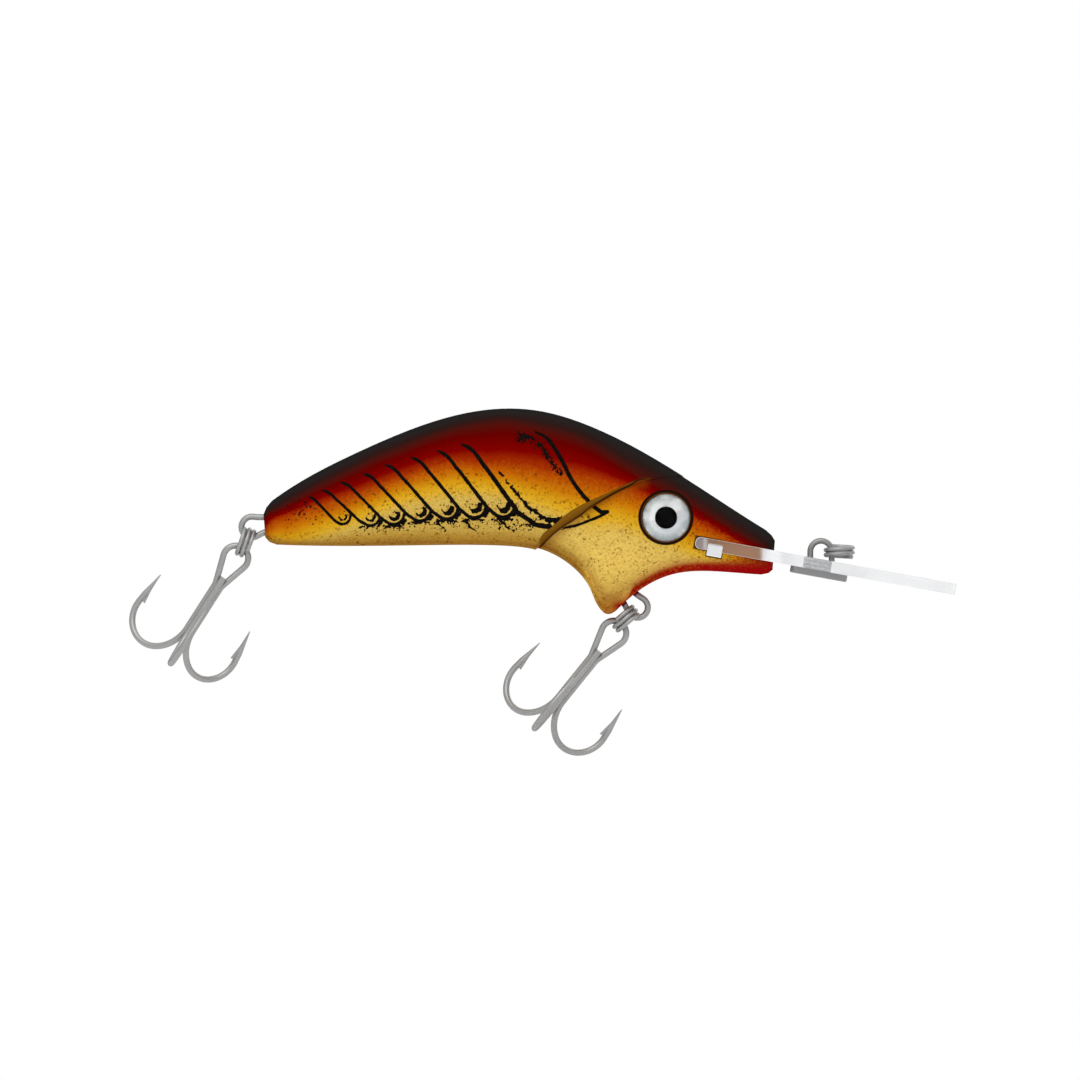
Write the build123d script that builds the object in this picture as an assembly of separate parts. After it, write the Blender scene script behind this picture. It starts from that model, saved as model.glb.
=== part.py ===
from build123d import *
import math
import os

# Deep-bodied crankbait lure with an exchangeable diving lip.
# Millimetres, nose towards +X, back towards +Z, moulding split at Y = 0.
# The origin is the centre of the tow eye's hole.
# The moulded halves and the eyes are drawn for the -Y side and mirrored.

# --- driving dimensions ---------------------------------------------------

# side outline of the body, (X, Z), from tail to nose
BACK_LINE = [(-97.9, 7.7), (-91.4, 12.2), (-80.9, 17.6), (-70.4, 22.0), (-60.0, 24.7), (-54.6, 25.1),
             (-49.0, 24.6), (-41.0, 22.2), (-33.5, 18.7), (-21.2, 11.3), (-8.0, 2.9)]
BELLY_LINE = [(-97.4, 1.3), (-88.0, 1.0), (-70.0, 1.1), (-56.3, 1.05), (-49.3, 0.1), (-44.0, -2.7),
              (-40.5, -6.9), (-38.9, -10.3), (-37.4, -11.4), (-35.3, -10.1), (-31.8, -7.1),
              (-26.5, -4.5), (-19.0, -3.85), (-8.6, -4.5)]
TAIL_HALF_WIDTH = 2.9
MAX_HALF_WIDTH = 10.0
NOSE_HALF_WIDTH = 5.2
WIDEST_AT = 0.55
CHIN_AT = 0.68
CHIN_NARROWING = 0.35
CHIN_SPREAD = 0.09
BELLY_NARROWING = 0.1
TAIL_SWELL = 0.9
FLANK_FULLNESS = 0.85
FLANK_SAG = 1.08
STATION_COUNT = 40
END_TRIM = 0.02
END_BEVEL = 0.007
TAIL_BEVELS = (0.0, 0.4, 1.2)
NOSE_BEVELS = (0.0, 0.3, 0.9)
PROFILE_STEPS = 8

# moulding; OUTSIDE is a distance past every face of the body
OUTSIDE = 20.0
WALL = 1.9
CAVITY_START = 0.16
CAVITY_END = 0.8
CAVITY_STATIONS = 24
CHIN_REAR = -54.0
CHIN_FLOOR = 2.6
SLOT_BLOCK_REAR = -26.0
SLOT_BLOCK_TOP = 5.0
EYE_CUP_WALL = 1.4
RIB_POSITIONS = (-74.0, -47.5)
RIB_THICKNESS = 1.2
PIN_RADIUS = 1.0
PIN_HEIGHT = 2.2
PIN_POSITIONS = [(-87.0, 6.0), (-58.0, 20.6), (-29.5, -1.0), (-19.5, 7.0)]
PIN_BOSS_RADIUS = 2.3
FIT = 0.03

# step behind the cheek: foot line (X, Z) from the forehead down to the belly
CHEEK_LINE = [(-20.0, 12.8), (-29.1, 12.8), (-35.3, 10.9), (-40.4, 7.6), (-45.4, 4.0), (-49.1, 1.1),
              (-53.0, -2.2)]
CHEEK_STEP = 0.95
CHEEK_FROM = 0.4
CHEEK_FADE_START = 0.08
CHEEK_FADE = 0.25
CHEEK_BACK_INSET = 0.12
CHEEK_BELLY_INSET = 0.4

# lip, seen in its own frame: U along the lip, V across, W out of its upper face
LIP_ANGLE = 10.3
LIP_HEIGHT = -2.35
LIP_THICKNESS = 2.0
TONGUE_REAR = -22.3
TONGUE_FRONT = -10.4
TONGUE_HALF_WIDTH = 5.2
BLADE_LINE = [(-9.4, 6.9), (0.0, 9.6), (10.5, 11.6), (18.0, 10.7), (22.6, 6.4), (24.0, 0.0)]
TONGUE_END_RADIUS = 0.9
SLOT_REAR = -22.36
SLOT_HEIGHT = 2.06
NOTCH_CENTRE = -18.8
NOTCH_LENGTH = 2.6
NOTCH_DEPTH = 0.9
LATCH_HALF_SPAN = 6.9
LATCH_TOP = 0.25

# tow eye and plate
TOW_WIRE = 1.05
TOW_RADIUS = 1.88
TOW_LEG_END = -2.0
SHANK_MIDDLE = -0.17
SHANK_WIDTH = 5.1
SHANK_THICKNESS = 1.2
PLATE_LENGTH = 10.1
PLATE_WIDTH = 5.0
PLATE_THICKNESS = 1.2

# hangers: centre of the outer loop and direction into the body
HANGER_WIRE = 1.1
HANGER_RADIUS = 1.82
HANGER_WAIST = 1.2
HANGER_LENGTH = 7.4
TAIL_LOOP = (-99.85, 4.3)
TAIL_LOOP_ANGLE = 11.5
BELLY_LOOP = (-32.2, -9.8)
BELLY_LOOP_ANGLE = 130.5

# split rings
RING_RADIUS = 2.375
RING_WIRE = 0.75
RING_PITCH = 0.84
RING_TURNS = 2.25
RING_HANG = 0.55
TOW_RING_HANG = 0.82

# treble hooks
HOOK_WIRE = 1.12
HOOK_EYE_RADIUS = 2.2
HOOK_EYE_HANG = 0.84
HOOK_EYE_SLIDE = 0.48
HOOK_THROAT_ANGLE = 17.0
HOOK_THROAT_RADIUS = 2.5
HOOK_SINGLE_TOP = -4.0
HOOK_SHANK_END = -14.9
HOOK_BEND_RADIUS = 6.7
HOOK_BEND_ANGLE = 58.0
HOOK_FRONT_RADIUS = 5.05
HOOK_SPEAR = 1.6
HOOK_SPEAR_LEAN = 7.5
HOOK_TAPER = 4.3
HOOK_TIP = 0.08
BARB_RISE = 1.6
BARB_FOOT = 0.9
BARB_REACH = 0.5
BARB_DROP = 0.6
BARB_HALF_THICKNESS = 0.22
PAIR_OFFSET = 0.565
BRAZE_GAP = 0.006
TREBLE_LEAN = 3.0
TREBLE_SPIN = 2.3
TAIL_RING_ANGLE = 23.0
TAIL_TREBLE_ANGLE = 32.6
BELLY_RING_ANGLE = 47.0
BELLY_TREBLE_ANGLE = 38.9

# eyes
EYE_CENTRE = (-27.1, 5.9)
EYE_RADIUS = 4.15
SOCKET_RADIUS = 4.2
SOCKET_RIM = 4.65
SOCKET_DEPTH = 1.55
FOIL_THICKNESS = 0.4
PUPIL_RADIUS = 1.92
PUPIL_THICKNESS = 0.15
LENS_EDGE = 0.75
LENS_RISE = 1.15

# loose steel balls and fixed ballast: (X of the chamber's rear end, X of its front end, Z, ball radius)
CHAMBERS = {"shift_ball": (-82.0, -53.0, 9.5, 3.2), "rattle_ball": (-68.0, -50.0, 17.6, 2.2)}
CHAMBER_WALL = 1.3
BALLAST_POSITION = (-42.6, 4.2)
BALLAST_RADIUS = 3.0
BALLAST_LENGTH = 8.0

LIP_FRAME = Location((0, 0, LIP_HEIGHT), (0, LIP_ANGLE, 0))


def spine(line):
    """Smooth outline through (X, Z) points in the plane Y = 0."""
    return Spline([Vector(x, 0, z) for x, z in line])


BACK = spine(BACK_LINE)
BELLY = spine(BELLY_LINE)


def half_width(fraction):
    """Half width of the body, rising from the tail and falling to the nose."""
    if fraction < WIDEST_AT:
        rise = math.sin(math.pi / 2 * fraction / WIDEST_AT) ** TAIL_SWELL
        return TAIL_HALF_WIDTH + (MAX_HALF_WIDTH - TAIL_HALF_WIDTH) * rise
    fall = ((fraction - WIDEST_AT) / (1 - WIDEST_AT)) ** 2
    return MAX_HALF_WIDTH - (MAX_HALF_WIDTH - NOSE_HALF_WIDTH) * fall


def body_section(fraction, cheek=0.0, margin=0.0):
    """Half of one cross-section, spanning back to belly; margin shrinks it all round."""
    top = BACK.position_at(fraction)
    bottom = BELLY.position_at(fraction)
    down = (bottom - top).normalized()
    top += down * (margin + (CHEEK_BACK_INSET if cheek else 0.0))
    bottom -= down * (margin + (CHEEK_BELLY_INSET if cheek else 0.0))
    height = (bottom - top).length
    narrowing = BELLY_NARROWING + CHIN_NARROWING * math.exp(-(((fraction - CHIN_AT) / CHIN_SPREAD) ** 2))
    points = [top]
    for i in range(1, PROFILE_STEPS):
        angle = math.pi * i / PROFILE_STEPS
        drop = ((1 - math.cos(angle)) / 2) ** FLANK_SAG
        ramp = min(1.0, max(0.0, (drop - CHEEK_FADE_START) / CHEEK_FADE))
        fullness = math.sin(angle) ** FLANK_FULLNESS * (1 - narrowing * drop**2)
        reach = (half_width(fraction) - margin - cheek * ramp) * fullness
        points.append(top + down * (height * drop) - Vector(0, reach, 0))
    points.append(bottom)
    flank = Spline(points, tangents=[(0, -1, 0), (0, 1, 0)])
    return Face(Wire([flank, Line(bottom, top)]))


def body_loft(start, end, count, cheek=0.0, margin=0.0):
    """Half body between two fractions of its length."""
    fractions = [start + (end - start) * i / count for i in range(count + 1)]
    return loft([body_section(f, cheek, margin) for f in fractions])


def end_cap(fractions, margins, cheek=0.0):
    """Bevelled end of the half body, from the loft's last section to the tip."""
    sections = [body_section(f, cheek, m) for f, m in zip(fractions, margins)]
    return loft(sections, ruled=True)


def cheek_cutter():
    """Everything in front of the cheek step, on the -Y side."""
    foot = Spline([Vector(x, 1, z) for x, z in CHEEK_LINE])
    first_x, first_z = CHEEK_LINE[0]
    last_x, last_z = CHEEK_LINE[-1]
    surround = Polyline(
        Vector(last_x, 1, last_z),
        Vector(last_x, 1, -OUTSIDE),
        Vector(2, 1, -OUTSIDE),
        Vector(2, 1, first_z),
        Vector(first_x, 1, first_z),
    )
    return extrude(Face(Wire([foot, *surround.edges()])), amount=OUTSIDE, dir=(0, -1, 0))


def half_body():
    """Outer form of one half: rear body proud of the cheeks by the step."""
    body = body_loft(END_TRIM, 1 - END_TRIM, STATION_COUNT)
    body += end_cap((END_TRIM, END_BEVEL, 0.0), TAIL_BEVELS)
    cheeks = body_loft(CHEEK_FROM, 1 - END_TRIM, STATION_COUNT, cheek=CHEEK_STEP)
    cheeks += end_cap((1 - END_TRIM, 1 - END_BEVEL, 1.0), NOSE_BEVELS, cheek=CHEEK_STEP)
    cutter = cheek_cutter()
    return (body - cutter) + (cheeks & cutter)


def cylinder_y(x, z, radius, y_from, y_to):
    """Cylinder along Y between two Y values."""
    length = y_to - y_from
    return Pos(x, (y_from + y_to) / 2, z) * Rot(90, 0, 0) * Cylinder(radius, length)


def box_between(x0, x1, y0, y1, z0, z1):
    """Box given by its limits."""
    return Pos((x0 + x1) / 2, (y0 + y1) / 2, (z0 + z1) / 2) * Box(x1 - x0, y1 - y0, z1 - z0)


def moulded_features(eye_frame):
    """Solid regions left standing inside the half shell, one shape each."""
    chin = box_between(CHIN_REAR, 0, -OUTSIDE, 1, -OUTSIDE, CHIN_FLOOR)
    slot_block = box_between(SLOT_BLOCK_REAR, 0, -OUTSIDE, 1, -OUTSIDE, SLOT_BLOCK_TOP)
    boss_end = BALLAST_LENGTH / 2 + CHAMBER_WALL
    ballast_boss = cylinder_y(*BALLAST_POSITION, BALLAST_RADIUS + CHAMBER_WALL, -boss_end, 1)
    features = [chin, slot_block, ballast_boss]
    half_rib = RIB_THICKNESS / 2
    for x in RIB_POSITIONS:
        features.append(box_between(x - half_rib, x + half_rib, -OUTSIDE, 1, -OUTSIDE, 2 * OUTSIDE))
    for x, z in PIN_POSITIONS:
        features.append(cylinder_y(x, z, PIN_BOSS_RADIUS, -OUTSIDE, 1))
    for rear, front, z, radius in CHAMBERS.values():
        length = front - rear + 2 * CHAMBER_WALL
        tube = Rot(0, 90, 0) * Cylinder(radius + CHAMBER_WALL, length)
        features.append(Pos((rear + front) / 2, 0, z) * tube)
    cup_base = -SOCKET_DEPTH - EYE_CUP_WALL
    cup_radius = SOCKET_RIM + EYE_CUP_WALL
    features.append(eye_frame * Pos(0, 0, cup_base + OUTSIDE / 4) * Cylinder(cup_radius, OUTSIDE / 2))
    return features


def chamber_bores():
    """Running bores of the two balls."""
    bores = []
    for rear, front, z, radius in CHAMBERS.values():
        bores.append(Pos((rear + front) / 2, 0, z) * Rot(0, 90, 0) * Cylinder(radius + 0.06, front - rear))
    return bores


def lip_slot():
    """Slot through the head for the tongue, with the latch notch in its lower wall."""
    reach = 30.0
    slot = Pos(SLOT_REAR + reach / 2, 0, 0) * Box(reach, 2 * OUTSIDE, SLOT_HEIGHT)
    slot = fillet(slot.edges().filter_by(Axis.Y).sort_by(Axis.X)[:2], TONGUE_END_RADIUS)
    notch_height = NOTCH_DEPTH + 1.0
    notch = Pos(NOTCH_CENTRE, 0, -SLOT_HEIGHT / 2 - NOTCH_DEPTH + notch_height / 2)
    return LIP_FRAME * (slot + notch * Box(NOTCH_LENGTH, 2 * OUTSIDE, notch_height))


def hanger_wire(centre, angle, wire):
    """Figure-eight wire: outer eye at the centre, inner loop round a post in the body."""
    radius = HANGER_RADIUS
    middle = HANGER_LENGTH / 2
    waist_radius = (middle**2 + HANGER_WAIST**2 - radius**2) / (2 * (radius - HANGER_WAIST))
    tilt = math.atan2(HANGER_WAIST + waist_radius, middle)
    entry = Vector(radius * math.cos(tilt), 0, radius * math.sin(tilt))
    leave = Vector(HANGER_LENGTH - entry.X, 0, entry.Z)
    diagonal = radius * math.sqrt(0.5)
    outer = ThreePointArc(Vector(-radius, 0, 0), Vector(-diagonal, 0, diagonal), entry)
    waist = ThreePointArc(entry, Vector(middle, 0, HANGER_WAIST), leave)
    far_side = Vector(HANGER_LENGTH + diagonal, 0, diagonal)
    inner = ThreePointArc(leave, far_side, Vector(HANGER_LENGTH + radius, 0, 0))
    path = Wire([outer, waist, inner])
    start = Plane(origin=path @ 0, z_dir=path % 0)
    half = sweep(start * Circle(wire / 2), path=path)
    whole = half + mirror(half, about=Plane.XY)
    return Pos(centre[0], 0, centre[1]) * Rot(0, -angle, 0) * whole


def ballast_weight():
    """Turned slug lying across the split."""
    end = BALLAST_LENGTH / 2
    return cylinder_y(*BALLAST_POSITION, BALLAST_RADIUS, -end, end)


def eye_location():
    """Frame of the -Y eye: origin on the cheek, Z along the surface normal."""
    x, z = EYE_CENTRE
    cheeks = body_loft(0.6, 1 - END_TRIM, STATION_COUNT, cheek=CHEEK_STEP)
    point, normal = cheeks.find_intersection_points(Axis((x, -30, z), (0, 1, 0)))[0]
    if normal.Y > 0:
        normal = normal * -1
    return Plane(origin=point, x_dir=(1, 0, 0), z_dir=normal).location


def eye_socket(frame):
    """Flat-bottomed pocket with a bevelled rim."""
    depth = SOCKET_DEPTH + FIT
    pocket = Pos(0, 0, 3 - depth) * Cylinder(SOCKET_RADIUS, 6)
    rim = Pos(0, 0, 0.1) * Cone(SOCKET_RADIUS - 0.1, SOCKET_RIM + 0.4, 1.4)
    return frame * (pocket + rim)


def eye_foil(frame):
    """Reflective disc on the socket's floor."""
    return frame * Pos(0, 0, -SOCKET_DEPTH + FOIL_THICKNESS / 2) * Cylinder(EYE_RADIUS, FOIL_THICKNESS)


def eye_pupil(frame):
    """Black disc on the foil."""
    base = -SOCKET_DEPTH + FOIL_THICKNESS
    return frame * Pos(0, 0, base + PUPIL_THICKNESS / 2) * Cylinder(PUPIL_RADIUS, PUPIL_THICKNESS)


def eye_lens(frame):
    """Clear dome over foil and pupil, with a pocket for the pupil."""
    base = -SOCKET_DEPTH + FOIL_THICKNESS
    edge = base + LENS_EDGE
    crown = edge + LENS_RISE
    sphere_radius = (EYE_RADIUS**2 + LENS_RISE**2) / (2 * LENS_RISE)
    disc = Pos(0, 0, (base + crown) / 2) * Cylinder(EYE_RADIUS, crown - base)
    dome = disc & (Pos(0, 0, crown - sphere_radius) * Sphere(sphere_radius))
    pocket_height = PUPIL_THICKNESS + FIT
    dome -= Pos(0, 0, base + pocket_height / 2) * Cylinder(PUPIL_RADIUS + FIT, pocket_height)
    return frame * dome


def half_shell(eye_frame):
    """Hollow moulded half on the -Y side, without pins or sockets."""
    cavity = body_loft(CAVITY_START, CAVITY_END, CAVITY_STATIONS, margin=WALL)
    for feature in moulded_features(eye_frame):
        cavity -= feature
    shell = half_body() - cavity
    for bore in chamber_bores():
        shell -= bore
    pocket_end = BALLAST_LENGTH / 2 + 0.1
    shell -= cylinder_y(*BALLAST_POSITION, BALLAST_RADIUS + FIT, -pocket_end, pocket_end)
    shell -= lip_slot()
    shell -= hanger_wire(TAIL_LOOP, TAIL_LOOP_ANGLE, HANGER_WIRE + 3 * FIT)
    shell -= hanger_wire(BELLY_LOOP, BELLY_LOOP_ANGLE, HANGER_WIRE + 3 * FIT)
    shell -= eye_socket(eye_frame)
    return shell


def with_pins(shell):
    """Half that carries the alignment pins."""
    for x, z in PIN_POSITIONS:
        shell += cylinder_y(x, z, PIN_RADIUS, -1.0, PIN_HEIGHT)
    return shell


def with_sockets(shell):
    """Half that receives the alignment pins."""
    for x, z in PIN_POSITIONS:
        shell -= cylinder_y(x, z, PIN_RADIUS + FIT, -1.0, PIN_HEIGHT + 0.2)
    return shell


def diving_lip():
    """Clear lip: narrow tongue for the slot, rounded blade in front."""
    under = -LIP_THICKNESS / 2
    port = [(TONGUE_FRONT, TONGUE_HALF_WIDTH), *BLADE_LINE]
    starboard = [(u, -v) for u, v in reversed(port[:-1])]
    blade = Spline([Vector(u, v, under) for u, v in port + starboard])
    tongue = Polyline(
        Vector(TONGUE_FRONT, -TONGUE_HALF_WIDTH, under),
        Vector(TONGUE_REAR, -TONGUE_HALF_WIDTH, under),
        Vector(TONGUE_REAR, TONGUE_HALF_WIDTH, under),
        Vector(TONGUE_FRONT, TONGUE_HALF_WIDTH, under),
    )
    lip = extrude(Face(Wire([blade, *tongue.edges()])), amount=LIP_THICKNESS, dir=(0, 0, 1))
    rear_edges = [e for e in lip.edges() if e.bounding_box().max.X < TONGUE_REAR + 0.01 and e.length > 3]
    lip = fillet(rear_edges, TONGUE_END_RADIUS)
    groove = Pos(NOTCH_CENTRE, 0, -LIP_THICKNESS / 4) * Box(NOTCH_LENGTH - 0.02, 20, LIP_THICKNESS / 2)
    return LIP_FRAME * (lip - groove - tow_shank(FIT))


def lip_latch():
    """Clear cross-bar under the tongue whose ends drop into the notch."""
    length = NOTCH_LENGTH - 0.1
    foot = -LIP_THICKNESS / 2 - NOTCH_DEPTH + 0.1
    bar = box_between(-length / 2, length / 2, -LATCH_HALF_SPAN, LATCH_HALF_SPAN, foot, -0.02)
    for side in (-1, 1):
        inner = side * (TONGUE_HALF_WIDTH + 0.05)
        outer = side * LATCH_HALF_SPAN
        low, high = min(inner, outer), max(inner, outer)
        bar += box_between(-length / 2, length / 2, low, high, foot, LATCH_TOP)
    return LIP_FRAME * Pos(NOTCH_CENTRE, 0, 0) * bar


def tow_shank(gap):
    """Flat shank through lip and plate, in the lip's frame, grown by a gap all round."""
    half_width = SHANK_WIDTH / 2 + gap
    half_thickness = SHANK_THICKNESS / 2 + gap
    top = LIP_THICKNESS / 2 + gap
    foot = -LIP_THICKNESS / 2 - PLATE_THICKNESS - gap
    left, right = SHANK_MIDDLE - half_width, SHANK_MIDDLE + half_width
    return box_between(left, right, -half_thickness, half_thickness, foot, top)


def tow_eye():
    """Wire arch whose legs run into a flat shank set in the lip."""
    left = Vector(-TOW_RADIUS, 0, 0)
    right = Vector(TOW_RADIUS, 0, 0)
    foot_left = Vector(-TOW_RADIUS, 0, TOW_LEG_END)
    foot_right = Vector(TOW_RADIUS, 0, TOW_LEG_END)
    arch = ThreePointArc(left, Vector(0, 0, TOW_RADIUS), right)
    path = Wire([Line(foot_left, left), arch, Line(right, foot_right)])
    start = Plane(origin=foot_left, z_dir=(0, 0, 1))
    return sweep(start * Circle(TOW_WIRE / 2), path=path) + LIP_FRAME * tow_shank(0)


def tow_plate():
    """Metal plate under the lip that holds the tow eye's shank."""
    centre_w = -LIP_THICKNESS / 2 - PLATE_THICKNESS / 2 - 0.01
    plate = Box(PLATE_LENGTH, PLATE_WIDTH, PLATE_THICKNESS)
    plate = fillet(plate.edges().filter_by(Axis.Z), 1.0)
    plate = fillet(plate.faces().sort_by(Axis.Z)[0].edges(), 0.25)
    return LIP_FRAME * (Pos(-0.15, 0, centre_w) * plate - tow_shank(FIT))


def split_ring():
    """Coiled ring about X; its wire ends overlap from the -Y side up to the top."""
    height = RING_PITCH * RING_TURNS
    coil = Helix(RING_PITCH, height, RING_RADIUS)
    start = Plane(origin=coil @ 0, z_dir=coil % 0)
    ring = sweep(start * Circle(RING_WIRE / 2), path=coil, is_frenet=True)
    overlap = 360 * (RING_TURNS - 2)
    return Rot(0, 90, 0) * Rot(0, 0, -90 - 0.7 * overlap) * Pos(0, 0, -height / 2) * ring


def rim(out, angle):
    """Unit vector turned from the direction out up towards +Z."""
    return out * math.cos(angle) + Vector(0, 0, 1) * math.sin(angle)


def hook_arm(direction, shank, top):
    """Shank, bend, spear and point of one hook; the shank starts at height top."""
    out = Vector(math.sin(math.radians(direction)), -math.cos(math.radians(direction)), 0)
    up = Vector(0, 0, 1)
    bend_start = Vector(shank.X, shank.Y, HOOK_SHANK_END)
    turn = math.radians(HOOK_BEND_ANGLE)
    lean = math.radians(HOOK_SPEAR_LEAN)
    wide_centre = bend_start + out * HOOK_BEND_RADIUS
    wide_middle = wide_centre - rim(out, turn / 2) * HOOK_BEND_RADIUS
    bend_join = wide_centre - rim(out, turn) * HOOK_BEND_RADIUS
    tight_centre = bend_join + rim(out, turn) * HOOK_FRONT_RADIUS
    tight_middle = tight_centre - rim(out, (turn + math.pi + lean) / 2) * HOOK_FRONT_RADIUS
    bend_end = tight_centre - rim(out, math.pi + lean) * HOOK_FRONT_RADIUS
    spear_dir = up * math.cos(lean) - out * math.sin(lean)
    spear_end = bend_end + spear_dir * HOOK_SPEAR
    shank_top = Vector(shank.X, shank.Y, top)
    wide_bend = ThreePointArc(bend_start, wide_middle, bend_join)
    tight_bend = ThreePointArc(bend_join, tight_middle, bend_end)
    path = Wire([Line(shank_top, bend_start), wide_bend, tight_bend, Line(bend_end, spear_end)])
    start = Plane(origin=shank_top, z_dir=(0, 0, -1))
    arm = sweep(start * Circle(HOOK_WIRE / 2), path=path)
    tip_frame = Plane(origin=spear_end + spear_dir * (HOOK_TAPER / 2), z_dir=spear_dir)
    arm += tip_frame * Cone(HOOK_WIRE / 2, HOOK_TIP, HOOK_TAPER)
    barb_top = spear_end + spear_dir * BARB_RISE - out * (HOOK_WIRE / 4)
    barb_foot = spear_end - spear_dir * BARB_FOOT
    barb_point = barb_foot - out * (HOOK_WIRE / 2 + BARB_REACH) - spear_dir * BARB_DROP
    barb = Face(Wire(Polyline(barb_top, barb_point, barb_foot, close=True)))
    side = out.cross(up)
    thickness = BARB_HALF_THICKNESS
    return arm + extrude(barb, amount=thickness, dir=side) + extrude(barb, amount=thickness, dir=side * -1)


def double_hook():
    """One bent wire: eye, two brazed shanks and two points; the eye's centre is the origin."""
    turn = math.radians(HOOK_THROAT_ANGLE)
    shoulder = Vector(HOOK_EYE_RADIUS * math.cos(turn), 0, -HOOK_EYE_RADIUS * math.sin(turn))
    along = Vector(-math.sin(turn), 0, -math.cos(turn))
    throat_x = PAIR_OFFSET + HOOK_THROAT_RADIUS * (1 - math.cos(turn))
    throat = shoulder + along * ((shoulder.X - throat_x) / math.sin(turn))
    neck = Vector(PAIR_OFFSET, 0, throat.Z - HOOK_THROAT_RADIUS * math.sin(turn))
    half_turn = turn / 2
    throat_middle = Vector(
        PAIR_OFFSET + HOOK_THROAT_RADIUS * (1 - math.cos(half_turn)),
        0,
        neck.Z + HOOK_THROAT_RADIUS * math.sin(half_turn),
    )
    crown = Vector(0, 0, HOOK_EYE_RADIUS)
    eye = ThreePointArc(crown, Vector(HOOK_EYE_RADIUS, 0, 0), shoulder)
    bow = ThreePointArc(throat, throat_middle, neck)
    start = Plane(origin=crown, z_dir=(1, 0, 0))
    loop = sweep(start * Circle(HOOK_WIRE / 2), path=Wire([eye, Line(shoulder, throat), bow]))
    half = loop + hook_arm(120, neck, neck.Z)
    return half + mirror(half, about=Plane.YZ)


def single_hook():
    """Third hook, brazed into the groove between the two shanks."""
    gap = math.sqrt((HOOK_WIRE + BRAZE_GAP) ** 2 - PAIR_OFFSET**2)
    return hook_arm(0, Vector(0, -gap, 0), HOOK_SINGLE_TOP)


def ring_placement(loop, angle, hang):
    """Frame of a ring hung in a wire loop: X along its axis, -Z away from the loop."""
    return Pos(loop[0], 0, loop[1]) * Rot(0, angle, 0) * Pos(0, 0, -(hang + RING_RADIUS))


def treble_placement(loop, ring_angle, treble_angle, side):
    """Frame of a treble's eye centre, hung on its ring, slid to one side and leaning."""
    hang = -(RING_RADIUS + HOOK_EYE_HANG)
    ring = ring_placement(loop, ring_angle, RING_HANG)
    eye = ring * Rot(TREBLE_LEAN, 0, 0) * Pos(side * HOOK_EYE_SLIDE, 0, hang)
    return eye * Rot(0, treble_angle - ring_angle, 0) * Rot(0, 0, -side * TREBLE_SPIN)


def balls():
    """Loose balls, each resting at the front end of its chamber."""
    made = {}
    for name, (rear, front, z, radius) in CHAMBERS.items():
        made[name] = Pos(front - radius - 0.02, 0, z) * Sphere(radius)
    return made


def make_parts():
    """Every node of the lure by name."""
    eye_frame = eye_location()
    near = half_shell(eye_frame)
    far = mirror(near, about=Plane.XZ)
    ring = split_ring()
    mirrored_ring = mirror(ring, about=Plane.YZ)
    tail = treble_placement(TAIL_LOOP, TAIL_RING_ANGLE, TAIL_TREBLE_ANGLE, -1)
    belly = treble_placement(BELLY_LOOP, BELLY_RING_ANGLE, BELLY_TREBLE_ANGLE, 1)
    double = double_hook()
    single = single_hook()
    parts = {
        "right_shell": with_pins(near),
        "left_shell": with_sockets(far),
        "tail_hanger": hanger_wire(TAIL_LOOP, TAIL_LOOP_ANGLE, HANGER_WIRE),
        "belly_hanger": hanger_wire(BELLY_LOOP, BELLY_LOOP_ANGLE, HANGER_WIRE),
        "ballast_weight": ballast_weight(),
        "diving_lip": diving_lip(),
        "lip_latch": lip_latch(),
        "tow_eye": tow_eye(),
        "tow_plate": tow_plate(),
        "tow_split_ring": ring_placement((0, 0), -90, TOW_RING_HANG) * Rot(180, 0, 0) * ring,
        "tail_split_ring": ring_placement(TAIL_LOOP, TAIL_RING_ANGLE, RING_HANG) * ring,
        "belly_split_ring": ring_placement(BELLY_LOOP, BELLY_RING_ANGLE, RING_HANG) * mirrored_ring,
        "tail_double_hook": tail * double,
        "tail_single_hook": tail * single,
        "belly_double_hook": belly * double,
        "belly_single_hook": belly * single,
    }
    for name, build in {"eye_foil": eye_foil, "eye_pupil": eye_pupil, "eye_lens": eye_lens}.items():
        piece = build(eye_frame)
        parts["right_" + name] = piece
        parts["left_" + name] = mirror(piece, about=Plane.XZ)
    parts.update(balls())
    return parts


os.makedirs("parts", exist_ok=True)
for node, shape in make_parts().items():
    export_step(shape, f"parts/{node}.step")
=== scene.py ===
import math

import bpy
import numpy as np
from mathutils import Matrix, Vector
from mathutils.bvhtree import BVHTree


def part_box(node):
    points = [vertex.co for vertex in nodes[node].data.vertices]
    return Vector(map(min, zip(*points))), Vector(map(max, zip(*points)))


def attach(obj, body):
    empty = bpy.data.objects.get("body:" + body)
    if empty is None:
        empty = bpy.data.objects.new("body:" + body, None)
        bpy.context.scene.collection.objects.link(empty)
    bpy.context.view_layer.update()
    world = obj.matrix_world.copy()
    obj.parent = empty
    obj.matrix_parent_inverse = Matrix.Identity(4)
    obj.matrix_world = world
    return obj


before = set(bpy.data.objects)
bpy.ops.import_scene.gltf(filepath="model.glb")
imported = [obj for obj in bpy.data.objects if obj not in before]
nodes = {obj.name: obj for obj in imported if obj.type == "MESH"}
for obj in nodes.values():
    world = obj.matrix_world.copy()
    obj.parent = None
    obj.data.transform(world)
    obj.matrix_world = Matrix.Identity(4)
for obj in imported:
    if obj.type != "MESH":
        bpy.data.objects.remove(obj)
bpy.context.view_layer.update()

# A lure with a 90 mm body. The origin is the tow eye; X runs to the nose, Z to the back,
# and the near side is -Y. Fields and flat drawings are in mm, everything else in metres.
MM = 0.001
VIEW_WIDTH = 189.475 * MM
VIEW_MIDDLE = (-49.3 * MM, 2.02 * MM)
VIEW_DISTANCE = 1.0
SEED = 20


# --- node helpers ------------------------------------------------------------

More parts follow.
